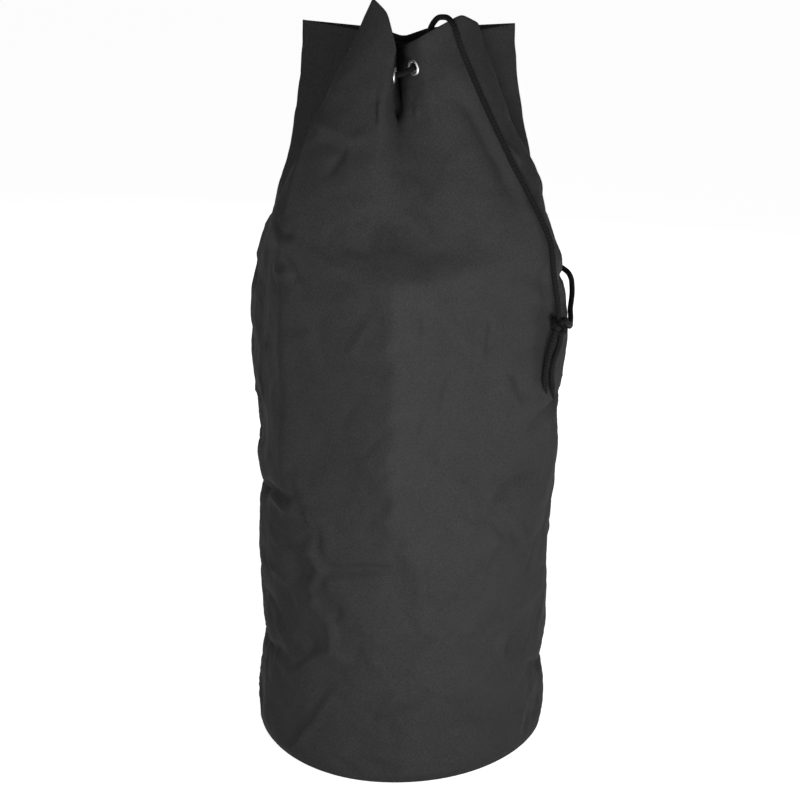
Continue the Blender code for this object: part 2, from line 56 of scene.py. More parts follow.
COLLAR_FRONT, COLLAR_SIDE, COLLAR_SLACK = 0.158, 0.015, 0.34
RIM_HEIGHT, COLLAR_LENGTH, FOLD_ROUNDING = 0.850, 0.27, 0.0055
CLOTH, TURN_IN = 0.0009, 0.0011
CARTON_ROUNDING, MOST_MOVED = 0.007, 0.005
CLOTH_COLUMNS, BODY_ROWS, COLLAR_ROWS = 228, 134, 64
CARTON = (
    (-0.016, -0.184), (0.171, -0.072), (0.186, 0.060), (0.020, 0.184), (-0.188, 0.050), (-0.145, -0.103),
)
# azimuth on the body, x, y, rise over RIM_HEIGHT, draw, start, and 1 at the bottom of a pleat
RIM = (
    (0.0, -0.016, -0.034, -0.002, 1.5, 0.52, 1),
    (14.0, -0.006, -0.066, 0.009, 1.5, 0.50, 0),
    (27.0, 0.012, -0.090, 0.026, 1.5, 0.50, 0),
    (52.0, 0.057, -0.078, 0.048, 1.2, 0.40, 0),
    (78.0, 0.078, -0.052, 0.030, 1.0, 0.20, 0),
    (93.0, 0.035, -0.004, 0.000, 1.3, 0.20, 1),
    (108.0, 0.1235, 0.040, 0.004, 1.7, 0.20, 0),
    (150.0, 0.023, 0.060, -0.007, 1.5, 0.45, 0),
    (180.0, -0.006, 0.018, -0.005, 1.5, 0.45, 1),
    (210.0, -0.035, 0.060, -0.007, 1.5, 0.45, 0),
    (252.0, -0.1235, 0.040, 0.008, 1.7, 0.20, 0),
    (267.0, -0.020, 0.000, 0.000, 1.3, 0.20, 1),
    (282.0, -0.042, -0.058, 0.062, 1.0, 0.20, 0),
    (306.0, -0.0245, -0.078, 0.050, 1.0, 0.35, 0),
    (338.0, -0.0135, -0.092, 0.012, 0.88, 0.50, 0),
)


def eased(value):
    """A smooth step from 0 to 1."""
    value = np.clip(value, 0.0, 1.0)
    return value * value * (3.0 - 2.0 * value)


def way_along(points):
    """Distance of each point of a row from the first, along the row."""
    return np.concatenate(((0.0,), np.cumsum(np.linalg.norm(np.diff(points, axis=0), axis=1))))


def turned(azimuth, middle=0.0):
    """Degrees from one azimuth to another, the short way round."""
    return (azimuth - middle + 180.0) % 360.0 - 180.0


def softened(columns, step, rounding):
    """Round every corner of a closed row of samples."""
    reach = int(4 * rounding / step)
    offsets = np.arange(-reach, reach + 1)
    weights = np.exp(-0.5 * (offsets * step / rounding) ** 2)
    weights = weights / weights.sum()
    return sum(w * np.roll(columns, -o, axis=0) for w, o in zip(weights, offsets))


def carton_outline():
    """Azimuth and radius of the cloth round the carton."""
    corners = np.array(CARTON + CARTON[:1])
    along = way_along(corners)
    places = np.arange(LINE) * along[-1] / LINE
    points = np.column_stack([np.interp(places, along, axis) for axis in corners.T])
    points = softened(points, along[-1] / LINE, CARTON_ROUNDING)
    azimuth = np.degrees(np.arctan2(points[:, 0], -points[:, 1])) % 360.0
    order = np.argsort(azimuth)
    return azimuth[order], np.linalg.norm(points, axis=1)[order]


carton_azimuth, carton_radius = carton_outline()


def shoulder(azimuth):
    """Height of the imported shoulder: level in front, pulled up at two corners, low at the back."""
    front = eased(np.cos(np.radians(azimuth)) / 0.5)
    height = SHOULDER_SIDE + (SHOULDER_FRONT - SHOULDER_SIDE) * front
    for corner, rise, reach in SHOULDER_CORNERS:
        height = height + rise * np.exp(-((turned(azimuth, corner) / reach) ** 2))
    return height


# waves of the carton's front edge in degrees, the height of one radian and where it begins
EDGE_WAVES = ((0.8, 0.0121, 0.0), (0.7, 0.0067, 1.4), (0.4, 0.0043, 0.0))
EDGE_AZIMUTH, EDGE_REACH = -5.0, 7.0


def edge_wander(azimuth, height):
    """How far the loose cloth carries the carton's front edge sideways, in degrees."""
    waves = sum(size * np.sin(height / length + start) for size, length, start in EDGE_WAVES)
    return waves * np.exp(-((turned(azimuth, EDGE_AZIMUTH) / EDGE_REACH) ** 2))


def body_face(azimuth, height, slack=0.0):
    """The filled body: round at the base, boxy where the carton is and the cloth isn't slack."""
    turn = np.radians(azimuth)
    edges = (azimuth + edge_wander(azimuth, height)) % 360.0
    boxy = np.interp(edges, carton_azimuth, carton_radius, period=360.0)
    boxy = boxy - slack * np.maximum(boxy - COLLAR_FRONT - COLLAR_SIDE * np.sin(turn) ** 2, 0.0)
    radius = BASE_RADIUS + eased((height - 0.24) / 0.16) * (boxy - BASE_RADIUS)
    under = np.clip(BASE_TURN - height, 0.0, BASE_TURN)
    radius = radius - BASE_TURN + np.sqrt(BASE_TURN ** 2 - under ** 2)
    lean = LEAN * (eased(height / SHOULDER_SIDE) - 1.0)
    return np.column_stack((lean + radius * np.sin(turn), -radius * np.cos(turn), height))


def rim_line():
    """The rim laid out along its length, pleated and unpleated."""
    rows = np.array(RIM)
    rows[:, 3] += RIM_HEIGHT
    unpleated = rows[:, 1:4].copy()
    for index in np.flatnonzero(rows[:, 6]):
        unpleated[index] = 0.5 * (rows[index - 1, 1:4] + rows[(index + 1) % len(rows), 1:4])
    table = np.column_stack((rows[:, :6], unpleated))
    table = np.vstack((table, table[:1]))
    table[-1, 0] += 360.0
    folds = way_along(table[:, 1:4])
    length = folds[-1]
    along = np.arange(LINE) * length / LINE
    columns = np.column_stack([np.interp(along, folds, c) for c in table.T])
    columns[:, 0] -= 360.0 * along / length
    columns = softened(columns, length / LINE, FOLD_ROUNDING)
    columns[:, 0] += 360.0 * along / length
    return folds, length, columns


rim_folds, rim_length, rim_columns = rim_line()
rim_azimuth = rim_columns[:, 0]


def cloth_height(level):
    """Height up the cloth, in metres, at one level: 0 at the floor, 1 at the shoulder, 2 at the rim."""
    top = shoulder(rim_azimuth)
    if level <= 1.0:
        return level * SHOULDER_SIDE + (top - SHOULDER_SIDE) * eased((level - 0.3) / 0.7)
    return top + (level - 1.0) * COLLAR_LENGTH


def ring(level):
    """Outer face of the wall at one level, all the way round."""
    if level <= 1.0:
        return body_face(rim_azimuth, cloth_height(level))
    share = level - 1.0
    pleated, draw, start = rim_columns[:, 1:4], rim_columns[:, 4], rim_columns[:, 5]
    plain = rim_columns[:, 6:9]
    body = body_face(rim_azimuth, shoulder(rim_azimuth), eased(share / COLLAR_SLACK))
    ease = 0.03 + 0.14 * np.sin(np.radians(rim_azimuth)) ** 2
    soft = min(share, 1.0) ** 2 * (1.0 + ease) / (min(share, 1.0) + ease)
    drawn = (1.0 - (1.0 - soft) ** draw)[:, None]
    folded = eased((share - start) / (1.0 - start))[:, None]
    points = body + drawn * (plain - body)
    points[:, 2] = body[:, 2] + share * (plain[:, 2] - body[:, 2])
    return points + folded * (pleated - plain)


def facing(level):
    """Outward directions of the wall at one level, and over the rim those of the rim."""
    level = min(level, 2.0)
    low, high, middle = ring(max(level - 0.01, 0.0005)), ring(min(level + 0.01, 2.0)), ring(level)
    out = np.cross(np.roll(middle, -2, axis=0) - np.roll(middle, 2, axis=0), high - low)
    return out / np.linalg.norm(out, axis=1)[:, None]


def cloth_columns(count):
    """Where the cloth's columns run: evenly over body and rim, closer together at the front."""
    body, top = ring(0.9), ring(2.0)
    step = np.linalg.norm(np.roll(body, -1, axis=0) - body, axis=1)
    step = step + 0.7 * np.linalg.norm(np.roll(top, -1, axis=0) - top, axis=1)
    step = step * (1.0 + 1.5 * eased((np.cos(np.radians(rim_azimuth)) + 0.45) / 0.4))
    reach = np.concatenate(((0.0,), np.cumsum(step)))
    return np.searchsorted(reach, np.arange(count) * reach[-1] / count).astype(int) % LINE


# radius that turns an azimuth into a way round the cloth, and the cross-section of a crease
CLOTH_RADIUS = 0.175
CREASE_GAIN, CREASE_PEAK, CREASE_FALL, CREASE_ROUNDING = 1.55, 0.39, 1.6, 0.06
CREASE_RUN_OUT, CREASE_END = 0.3, 0.15
# wrinkles, each a route of (azimuth, height up the cloth), its height over the wall and its width
CREASES = (
    (((-1.5, 0.866), (-1.0, 0.838), (-0.5, 0.800)), -0.0080, 0.0090),
    (((-35.0, 0.839), (-29.0, 0.822), (-25.0, 0.803)), -0.0030, 0.0045),
    (((-28.0, 0.832), (-22.5, 0.800)), 0.0022, 0.0050),
    (((-70.0, 0.781), (-51.0, 0.784), (-40.0, 0.780), (-26.0, 0.791)), 0.0024, 0.0090),
    (((-60.0, 0.772), (-42.0, 0.765), (-46.0, 0.722)), -0.0026, 0.0120),
    (((-72.0, 0.780), (-63.0, 0.738), (-55.0, 0.681)), 0.0028, 0.0080),
    (((-62.0, 0.667), (-55.0, 0.656), (-48.0, 0.656)), -0.0040, 0.0055),
    (((-56.0, 0.660), (-41.0, 0.643), (-23.0, 0.623)), 0.0034, 0.0080),
    (((-55.0, 0.636), (-50.0, 0.619), (-46.0, 0.603)), -0.0030, 0.0048),
    (((-57.0, 0.604), (-48.0, 0.616)), 0.0024, 0.0045),
    (((41.0, 0.826), (47.0, 0.784), (52.0, 0.733), (55.0, 0.677)), -0.0046, 0.0150),
    (((58.0, 0.761), (64.0, 0.728)), 0.0026, 0.0070),
    (((19.0, 0.815), (17.5, 0.798)), 0.0016, 0.0045),
    (((5.0, 0.591), (6.0, 0.558)), -0.0022, 0.0050),
    (((-1.5, 0.499), (-3.2, 0.483)), -0.0024, 0.0045),
    (((18.5, 0.512), (14.0, 0.480), (13.0, 0.457)), -0.0026, 0.0045),
    (((16.0, 0.514), (11.7, 0.482), (10.5, 0.460)), 0.0014, 0.0065),
    (((7.3, 0.465), (4.8, 0.438)), -0.0024, 0.0045),
    (((38.0, 0.561), (36.3, 0.535), (34.5, 0.512)), -0.0026, 0.0048),
    (((35.0, 0.563), (33.4, 0.537), (31.5, 0.512)), 0.0016, 0.0075),
    (((28.5, 0.518), (27.0, 0.503)), -0.0022, 0.0045),
    (((46.5, 0.496), (54.0, 0.455), (60.0, 0.466)), -0.0028, 0.0050),
    (((44.0, 0.487), (51.0, 0.448)), 0.0016, 0.0060),
    (((60.5, 0.371), (49.5, 0.366), (41.5, 0.353), (36.0, 0.339)), 0.0030, 0.0048),
    (((63.0, 0.360), (50.5, 0.355), (42.5, 0.343), (38.0, 0.328)), -0.0032, 0.0050),
    (((13.5, 0.415), (13.0, 0.398)), -0.0022, 0.0055),
    (((27.0, 0.381), (25.5, 0.365)), -0.0020, 0.0055),
    (((6.5, 0.396), (5.5, 0.380)), -0.0020, 0.0050),
    (((-82.0, 0.309), (-67.0, 0.317), (-49.0, 0.322), (-35.0, 0.326), (-28.0, 0.340)), 0.0030, 0.0050),
    (((-80.0, 0.323), (-62.0, 0.332), (-48.0, 0.336)), -0.0034, 0.0055),
    (((-37.0, 0.317), (-18.0, 0.325), (-2.0, 0.328)), -0.0026, 0.0070),
    (((-3.5, 0.368), (-6.7, 0.346)), 0.0024, 0.0045),
    (((-35.5, 0.306), (-36.5, 0.279)), -0.0026, 0.0045),
    (((-26.4, 0.220), (-27.5, 0.197)), -0.0024, 0.0045),
    (((-34.0, 0.273), (-17.5, 0.282), (-2.0, 0.287)), 0.0019, 0.0055),
    (((-34.0, 0.261), (-17.5, 0.270), (-2.0, 0.275)), -0.0022, 0.0060),
    (((-33.0, 0.249), (-17.5, 0.258), (-2.0, 0.263)), 0.0019, 0.0055),
    (((1.8, 0.290), (-0.6, 0.265)), 0.0022, 0.0046),
    (((-50.5, 0.278), (-39.0, 0.276), (-36.5, 0.258), (-40.5, 0.226)), 0.0038, 0.0058),
    (((-40.5, 0.228), (-38.5, 0.208), (-29.5, 0.197), (-28.5, 0.161), (-42.0, 0.136)), 0.0038, 0.0058),
    (((-1.0, 0.338), (4.2, 0.274), (7.3, 0.210), (6.7, 0.172)), 0.0016, 0.0120),
    (((5.4, 0.190), (14.5, 0.190)), 0.0016, 0.0045),
    (((38.0, 0.311), (46.5, 0.285)), -0.0028, 0.0050),
    (((44.5, 0.312), (50.5, 0.275)), -0.0028, 0.0050),
    (((41.0, 0.286), (34.0, 0.254)), -0.0026, 0.0052),
    (((51.0, 0.300), (56.5, 0.272)), 0.0024, 0.0050),
    (((46.5, 0.176), (40.0, 0.145)), 0.0036, 0.0055),
    (((50.5, 0.168), (46.5, 0.136)), -0.0050, 0.0075),
    (((-74.0, 0.232), (-62.0, 0.228), (-51.0, 0.220)), 0.0024, 0.0046),
    (((-67.0, 0.162), (-58.0, 0.146), (-50.0, 0.126)), 0.0024, 0.0046),
    (((-25.5, 0.116), (-36.5, 0.059), (-47.0, 0.012)), 0.0030, 0.0056),
    (((-25.0, 0.133), (-7.5, 0.159)), 0.0024, 0.0090),
    (((-20.5, 0.035), (7.5, 0.031), (40.0, 0.020)), 0.0018, 0.0050),
    (((-27.0, 0.036), (-11.0, 0.011)), 0.0022, 0.0055),
    (((-92.0, 0.303), (-82.0, 0.309), (-66.0, 0.327)), -0.0054, 0.0085),
    (((-92.0, 0.106), (-75.0, 0.110), (-56.0, 0.130)), -0.0052, 0.0095),
    (((88.0, 0.446), (71.0, 0.437), (63.0, 0.430), (60.0, 0.414)), -0.0046, 0.0080),
    (((90.0, 0.078), (76.0, 0.081), (62.0, 0.108)), -0.0042, 0.0090),
)
# hollows and swells: azimuth, height up the cloth, height over the wall, reach across and up
SWELLS = (
    (-48.0, 0.246, -0.0070, 0.020, 0.026),
    (-54.0, 0.202, -0.0090, 0.026, 0.034),
    (-40.0, 0.165, -0.0060, 0.016, 0.022),
    (52.0, 0.142, -0.0050, 0.018, 0.034),
    (62.0, 0.378, -0.0050, 0.016, 0.034),
    (26.0, 0.770, -0.0040, 0.026, 0.040),
    (40.0, 0.843, 0.0030, 0.014, 0.018),
    (82.0, 0.500, 0.0035, 0.030, 0.040),
    (-100.0, 0.385, -0.0075, 0.050, 0.050),
    (-92.0, 0.302, -0.0090, 0.050, 0.016),
    (-90.0, 0.170, -0.0045, 0.050, 0.050),
    (-88.0, 0.105, -0.0065, 0.050, 0.036),
    (98.0, 0.400, -0.0070, 0.050, 0.040),
    (-10.0, 0.004, 0.0115, 0.170, 0.035),
    (102.0, 0.567, -0.0110, 0.050, 0.024),
    (86.0, 0.580, -0.0060, 0.045, 0.022),
    (-101.0, 0.570, -0.0065, 0.050, 0.028),
    (72.0, 0.640, -0.0030, 0.025, 0.020),
    (78.0, 0.690, 0.0075, 0.028, 0.034),
    (-107.0, 0.650, 0.0040, 0.030, 0.025),
)


def loose_creases(count, seed):
    """Short slanting creases anywhere on the body, where the cloth hangs slack on its contents."""
    chance = np.random.default_rng(seed)
    for _ in range(count):
        azimuth, height = chance.uniform(-165.0, 165.0), chance.uniform(0.04, 0.58)
        slant = math.radians(chance.choice((-1.0, 1.0)) * chance.uniform(15.0, 60.0))
        half = 0.5 * chance.uniform(0.020, 0.065)
        kink = chance.uniform(-0.2, 0.2) * half
        run = math.degrees(half * math.cos(slant) / CLOTH_RADIUS)
        climb = half * math.sin(slant)
        low, high = (azimuth - run, height - climb), (azimuth + run, height + climb)
        rise = chance.choice((-1.0, 1.0)) * chance.uniform(0.0007, 0.0019)
        yield (low, (azimuth, height + kink), high), rise, chance.uniform(0.0035, 0.0065)


def relief(azimuth, height):
    """How far the wrinkled cloth stands off the plain wall."""
    across = np.radians(turned(azimuth)) * CLOTH_RADIUS
    total = np.zeros_like(across)
    for route, rise, width in (*CREASES, *loose_creases(count=150, seed=4)):
        spots = np.array([(math.radians(a) * CLOTH_RADIUS, h) for a, h in route])
        reach = way_along(spots)
        reach = reach / reach[-1]
        nearest = np.full(across.shape, 9.0)
        share = np.zeros_like(across)
        for a, b, low, high in zip(spots, spots[1:], reach, reach[1:]):
            run = b - a
            t = np.clip(((across - a[0]) * run[0] + (height - a[1]) * run[1]) / (run @ run), 0.0, 1.0)
            away = np.hypot(across - a[0] - t * run[0], height - a[1] - t * run[1])
            closer = away < nearest
            nearest = np.where(closer, away, nearest)
            share = np.where(closer, low + t * (high - low), share)
        ends = [eased(part / CREASE_RUN_OUT + CREASE_END) for part in (share, 1.0 - share)]
        fall = CREASE_FALL * np.sqrt((nearest / width) ** 2 + CREASE_ROUNDING)
        total += CREASE_GAIN * rise * ends[0] * ends[1] * np.exp(CREASE_PEAK - fall)
    for middle, level, rise, reach_across, reach_up in SWELLS:
        side = (across - math.radians(middle) * CLOTH_RADIUS) / reach_across
        total += rise * np.exp(-side ** 2 - ((height - level) / reach_up) ** 2)
    return total


def crumpled(points, size, seed):
    """Soft noise over points of the wall, from about -1 to 1."""
    shift = Vector((seed, 2.3 * seed, -1.7 * seed))
    flat = points.reshape(-1, 3) / size
    value = [noise.fractal(Vector(p) + shift, 0.9, 2.1, 3, noise_basis="PERLIN_NEW") for p in flat]
    return np.array(value).reshape(points.shape[:-1])


def laid_grid(points, measure, closed):
    """A grid of cells moved to rows of points, the cloth's own measure in metres as its UV map."""
    rows, columns = points.shape[:2]
    shape = bmesh.new()
    cloth = shape.loops.layers.uv.new("cloth")
    bmesh.ops.create_grid(shape, x_segments=columns - 1, y_segments=rows - 1, size=0.5)
    shape.verts.index_update()
    spots = [
        (round((v.co.y + 0.5) * (rows - 1)), round((v.co.x + 0.5) * (columns - 1))) for v in shape.verts
    ]
    for vert, spot in zip(shape.verts, spots):
        vert.co = points[spot]
    for face in shape.faces:
        face.smooth = True
        for loop in face.loops:
            loop[cloth].uv = measure[spots[loop.vert.index]]
    if closed:
        bmesh.ops.remove_doubles(shape, verts=shape.verts[:], dist=0.000001)
    return shape


def placed(name, shape, paint):
    """A finished shape as an object of the scene, in one material."""
    mesh = bpy.data.meshes.new(name)
    shape.to_mesh(mesh)
    shape.free()
    piece = bpy.data.objects.new(name, mesh)
    bpy.context.collection.objects.link(piece)
    mesh.materials.append(paint)
    return piece


def thickened(piece, thickness):
    """Give a layer of cloth its thickness, inwards."""
    layer = piece.modifiers.new("cloth", "SOLIDIFY")
    layer.thickness = thickness
    layer.offset = -1.0


def fixed(piece, body, slot, *nodes):
    """Ride a finished piece on a body and let it stand for its CAD nodes."""
    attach(piece, body)
    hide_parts(*nodes)


class Value:
    """A shader socket that takes part in sums."""

    def __init__(self, finish, socket):
        self.finish = finish
        self.socket = socket

    def math(self, operation, *terms):
        return self.finish.node("ShaderNodeMath", {"operation": operation}, dict(enumerate(terms)))

    def __add__(self, other):
        return self.math("ADD", self, other)

    def __sub__(self, other):
        return self.math("SUBTRACT", self, other)

    def __rsub__(self, other):
        return self.math("SUBTRACT", other, self)

    def __mul__(self, other):
        return self.math("MULTIPLY", self, other)

    __radd__ = __add__
    __rmul__ = __mul__

    def sine(self):
        return self.math("SINE", self)


class Finish:
    """A node material with one Principled shader."""

    def __init__(self, name):
        self.paint = bpy.data.materials.new(name)
        self.paint.use_nodes = True
        self.tree = self.paint.node_tree
        self.shader = self.tree.nodes["Principled BSDF"]

    def node(self, kind, settings=None, inputs=None, output=0):
        made = self.tree.nodes.new(kind)
        for key, value in (settings or {}).items():
            setattr(made, key, value)
        self.feed(made, inputs or {})
        return Value(self, made.outputs[output])

    def feed(self, node, inputs):
        for key, value in inputs.items():
            if isinstance(value, Value):
                self.tree.links.new(value.socket, node.inputs[key])
            else:
                node.inputs[key].default_value = value

    def surface(self, **inputs):
        self.feed(self.shader, {key.replace("_", " "): value for key, value in inputs.items()})
        return self.paint

    def spots(self, size, detail=3.0):
        """Even noise at one size, on the object's own coordinates."""
        place = self.node("ShaderNodeTexCoord", output="Object")
        return self.node(
            "ShaderNodeTexNoise", None, {"Vector": place, "Scale": 1.0 / size, "Detail": detail}
        )

    def measures(self):
        """The two directions of the piece's own UV map, in metres."""
        spread = self.node("ShaderNodeUVMap", {"uv_map": "cloth"})
        split = self.node("ShaderNodeSeparateXYZ", None, {0: spread})
        return split, Value(self, split.socket.node.outputs[1])

    def tones(self, dark, light, share):
        return self.node(
            "ShaderNodeMix", {"data_type": "RGBA"}, {0: share, 6: (*dark, 1.0), 7: (*light, 1.0)}, 2
        )

    def bumped(self, height, depth, strength=1.0):
        return self.node(
            "ShaderNodeBump", None, {"Height": height, "Distance": depth, "Strength": strength}
        )


def nylon_finish(name, dark, light, gloss):
    """Coated plain weave: a fine grain, worn patches of gloss and a soft mottle."""
    finish = Finish(name)
    across, along = finish.measures()
    pitch = 2.0 * math.pi / 0.0012
    weave = (across * pitch).sine() * (along * pitch).sine()
    grain, mottle = finish.spots(0.0019, 3.0), finish.spots(0.035, 4.0)
    height = weave * 0.35 + grain * 0.65 + finish.spots(0.006, 2.0) * 0.8
    return finish.surface(
        Base_Color=finish.tones(dark, light, mottle * 0.5 + grain * 1.7 - 0.60),
        Roughness=gloss + mottle * 0.16 - grain * 0.06,
        Specular_IOR_Level=0.04,
        Normal=finish.bumped(height, 0.00025, 0.55),
    )


nylon = nylon_finish("black_coated_nylon", (0.036, 0.036, 0.0365), (0.060, 0.060, 0.0605), 0.66)

columns = cloth_columns(CLOTH_COLUMNS)
columns = np.append(columns, columns[0])
foot = np.array((0.0008, 0.003, 0.006, 0.009, 0.012)) / SHOULDER_SIDE
body_levels = np.linspace(0.017 / SHOULDER_SIDE, 1.0, BODY_ROWS)
levels = np.concatenate((foot, body_levels, np.linspace(1.0, 2.0, COLLAR_ROWS)[1:]))
wall = np.stack([ring(level)[columns] for level in levels])
outward = np.stack([facing(level)[columns] for level in levels])
climb = np.stack([cloth_height(level)[columns] for level in levels])
azimuths = np.broadcast_to(rim_azimuth[columns], climb.shape)

near_rim = eased((2.0 - levels) / 0.09)[:, None]
fine = 0.0009 * crumpled(wall, size=0.030, seed=3.0) + 0.0016 * crumpled(wall, size=0.090, seed=7.0)
fine = fine * eased((climb - 0.010) / 0.03)
push = outward.copy()
push[climb < 0.020, 2] = 0.0
push = push / np.linalg.norm(push, axis=2, keepdims=True)
wall = wall + push * ((relief(azimuths, climb) + fine) * near_rim)[..., None]


def slackness(azimuth, height):
    """Share of loose cloth: all of it low on the body, and higher up only a little, at the back."""
    low = eased((0.42 - height) / 0.12)
    front = eased((np.cos(np.radians(azimuth)) + 0.3) / 0.5)
    return low + (1.0 - low) * 0.14 * (1.0 - front)


def nearest_of(points):
    """A search tree of points."""
    tree = kdtree.KDTree(len(points))
    for index, spot in enumerate(points):
        tree.insert(spot, index)
    tree.balance()
    return tree


def buckled(points, slack, excess, stride, steps, passes):
    """The small folds of a wall cut a little too large for its shape and held at the base and the rim."""
    few = points[::stride, ::stride]
    shape = laid_grid(few, few[..., :2], True)
    rest = np.array([vert.co for vert in shape.verts])
    near = nearest_of(rest)
    order = np.array([near.find(spot)[1] for spot in few.reshape(-1, 3)]).reshape(few.shape[:2])
    sample = placed("slack_cloth", shape, nylon)
    held, taut = [sample.vertex_groups.new(name=name) for name in ("held", "taut")]
    held.add(np.concatenate((order[:2], order[-7:])).ravel().tolist(), 1.0, "REPLACE")
    for index, share in zip(order.ravel().tolist(), slack[::stride, ::stride].ravel()):
        taut.add([index], 1.0 - share, "REPLACE")
    cloth = sample.modifiers.new("slack", "CLOTH").settings
    cloth.vertex_group_mass = "held"
    cloth.vertex_group_shrink = "taut"
    cloth.shrink_min = -excess
    cloth.shrink_max = 0.0
    cloth.effector_weights.gravity = 0.0
    cloth.quality = 6
    cloth.mass = 0.2
    cloth.tension_stiffness = cloth.compression_stiffness = 25.0
    cloth.shear_stiffness = 12.0
    cloth.bending_stiffness = 0.05
    cloth.air_damping = 4.0
    for step in range(1, steps + 1):
        bpy.context.scene.frame_set(step)
    moved = sample.evaluated_get(bpy.context.evaluated_depsgraph_get()).data
    moved = np.array([vert.co for vert in moved.vertices])
    away = (moved - rest)[order]
    bpy.data.objects.remove(sample, do_unlink=True)
    bpy.context.scene.frame_set(1)
    broad = away[:, :-1]
    for _ in range(passes):
        over = np.concatenate((broad[:1], broad[:-1])) + np.concatenate((broad[1:], broad[-1:]))
        broad = 0.25 * (over + np.roll(broad, 1, axis=1) + np.roll(broad, -1, axis=1))
    away = away - np.concatenate((broad, broad[:, :1]), axis=1)
    rows = np.arange(points.shape[0]) / stride
    across = np.arange(points.shape[1]) / stride
    low = np.minimum(rows.astype(int), len(few) - 2)
    side = np.minimum(across.astype(int), few.shape[1] - 2)
    up, over = (rows - low)[:, None, None], (across - side)[None, :, None]
    corner = [[away[low + a][:, side + b] for b in (0, 1)] for a in (0, 1)]
    lower = (1.0 - over) * corner[0][0] + over * corner[0][1]
    upper = (1.0 - over) * corner[1][0] + over * corner[1][1]
    return (1.0 - up) * lower + up * upper


move = buckled(wall, slackness(azimuths, climb), excess=0.032, stride=2, steps=24, passes=60)
size = np.linalg.norm(move, axis=2, keepdims=True)
wall = wall + move * (MOST_MOVED * np.tanh(size / MOST_MOVED) / np.maximum(size, 1e-9))

upward = wall[-1] - wall[-2]
upward = upward / np.linalg.norm(upward, axis=1)[:, None]
roll = []
for angle in (45.0, 90.0, 135.0, 180.0):
    sweep = math.radians(angle)
    inward = outward[-1] * TURN_IN * (1.0 - math.cos(sweep))
    roll.append(wall[-1] - inward + upward * TURN_IN * math.sin(sweep))
for row in (-2, -3):
    roll.append(wall[row] - outward[row] * 2.0 * TURN_IN)
spread = way_along(ring(0.9)[columns])
extra = climb[-1] + 0.0012 * np.arange(1, len(roll) + 1)[:, None]
measure = np.stack((np.broadcast_to(spread, (len(levels) + len(roll), len(columns))),
                    np.vstack((climb, extra))), axis=-1)

EYELETS = ((1, 0.50), (4, 0.52), (5, 0.42), (7, 0.42), (8, 0.58), (10, 0.66), (11, 0.48), (14, 0.34))
EYELET_DEPTH, HOLE_RADIUS = 0.030, 0.0070
EYELET_LEVEL = 2.0 - EYELET_DEPTH / COLLAR_LENGTH


def eyelet_seats():
    """Middle and outward direction of each eyelet on the wall."""
    row, away = ring(EYELET_LEVEL), facing(EYELET_LEVEL)
    for fold, share in EYELETS:
        place = rim_folds[fold] + share * (rim_folds[fold + 1] - rim_folds[fold])
        index = int(round(place / rim_length * LINE)) % LINE
        yield Vector(row[index]), Vector(away[index])


seats = list(eyelet_seats())


def punched(shape):
    """Cut a round hole in a layer of cloth under each eyelet."""
    for seat, out in seats:
        cut = []
        for face in shape.faces:
            away = face.calc_center_median() - seat
            if away.length < 0.9 * HOLE_RADIUS and abs(away.dot(out)) < 0.5 * HOLE_RADIUS:
                cut.append(face)
        bmesh.ops.delete(shape, geom=cut, context="FACES")
        for vert in shape.verts:
            away = vert.co - seat
            if vert.is_boundary and away.length < 2.0 * HOLE_RADIUS:
                height = away.dot(out)
                flat = away - height * out
                vert.co = seat + height * out + flat.normalized() * HOLE_RADIUS
    return shape


bag_wall = placed(
    "bag_wall_cloth", punched(laid_grid(np.concatenate((wall, np.stack(roll))), measure, True)), nylon
)
thickened(bag_wall, CLOTH)
fixed(bag_wall, "bag", "cloth", "bag_wall")


# Mouth hem. The second layer of the same cloth inside the rim, 52 mm deep, which the eyelets clamp.
# A single line of lockstitch in black thread holds its lower edge to the wall.
HEM_DEPTH, HEM_TOP, HEM_SLACK, LAYER_GAP = 0.052, 0.006, 0.001, 0.0003
STITCH, STITCH_GAP, STITCH_AIM, THREAD = 0.0026, 0.0011, 0.001, 0.0004
hem_levels = np.linspace(2.0 - HEM_DEPTH / COLLAR_LENGTH, 2.0 - HEM_TOP / COLLAR_LENGTH, 13)


def wall_at(level):
    """The finished wall's points at one level."""
    row = np.interp(level, levels, np.arange(len(levels)))
    low = min(int(row), len(levels) - 2)
    return wall[low] + (row - low) * (wall[low + 1] - wall[low])


hem = []
for level in hem_levels:
    plain, out = ring(level)[columns], facing(level)[columns]
    sunk = np.minimum(np.sum((wall_at(level) - plain) * out, axis=1) + HEM_SLACK, 0.0)
    hem.append(plain + (sunk - 2.0 * TURN_IN - LAYER_GAP)[:, None] * out)
hem = np.stack(hem)
hem_climb = np.stack([cloth_height(v)[columns] for v in hem_levels])
hem_measure = np.stack((np.broadcast_to(spread, hem_climb.shape), hem_climb), axis=-1)
mouth_hem = placed("mouth_hem_cloth", punched(laid_grid(hem, hem_measure, True)), nylon)
thickened(mouth_hem, CLOTH)
fixed(mouth_hem, "bag", "cloth", "mouth_hem")


def thread_finish():
    """Black polyester thread with a slight shine."""
    finish = Finish("black_thread")
    twist = finish.spots(0.0006, 1.0)
    return finish.surface(
        Base_Color=finish.tones((0.014, 0.014, 0.014), (0.028, 0.028, 0.028), twist),
        Roughness=0.50 + twist * 0.2,
    )


thread = thread_finish()


def column_at(azimuth):
    """The column of the cloth nearest to an azimuth."""
    return int(np.argmin(np.abs(azimuths[0, :-1] - azimuth)))


def on_cloth(azimuth, height):
    """The point of the finished wall, and its outward direction, at one place up the cloth."""
    column = column_at(azimuth)
    row = np.interp(height, climb[:, column], np.arange(len(levels)))
    low = min(int(row), len(levels) - 2)
    part = row - low
    point = (1.0 - part) * wall[low, column] + part * wall[low + 1, column]
    return point, outward[low, column]


